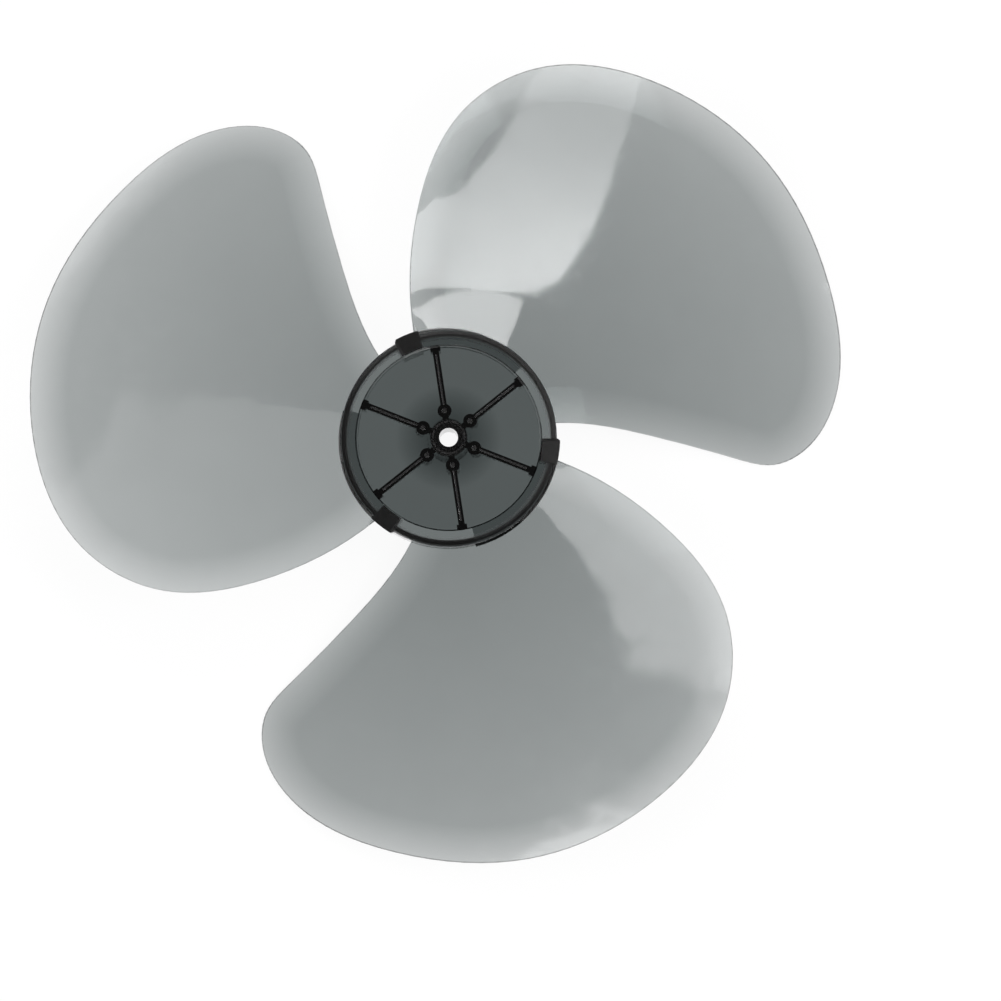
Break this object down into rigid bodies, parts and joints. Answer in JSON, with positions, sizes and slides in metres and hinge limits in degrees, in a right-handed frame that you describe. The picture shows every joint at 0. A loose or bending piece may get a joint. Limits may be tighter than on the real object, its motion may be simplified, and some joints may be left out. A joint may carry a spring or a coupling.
{
  "type": "pedestal fan blade",
  "caption": "Clear smoke-grey moulded fan blade: broad twisted leaves round a ribbed cup-shaped hub, bored for a motor shaft and driven by its cross pin.",
  "frame": {"origin": "on the shaft axis where the shaft enters the boss, in the plane of the hub's rear rim", "axes": "+Z along the shaft axis towards the front of the fan, +X and +Y across it"},
  "size_m": [0.3556, 0.3465, 0.0394],
  "materials": {
    "smoke_plastic": "polished clear smoke grey"
  },
  "bodies": {
    "root": {"fan_blade": "smoke_plastic"}
  },
  "joints": []
}
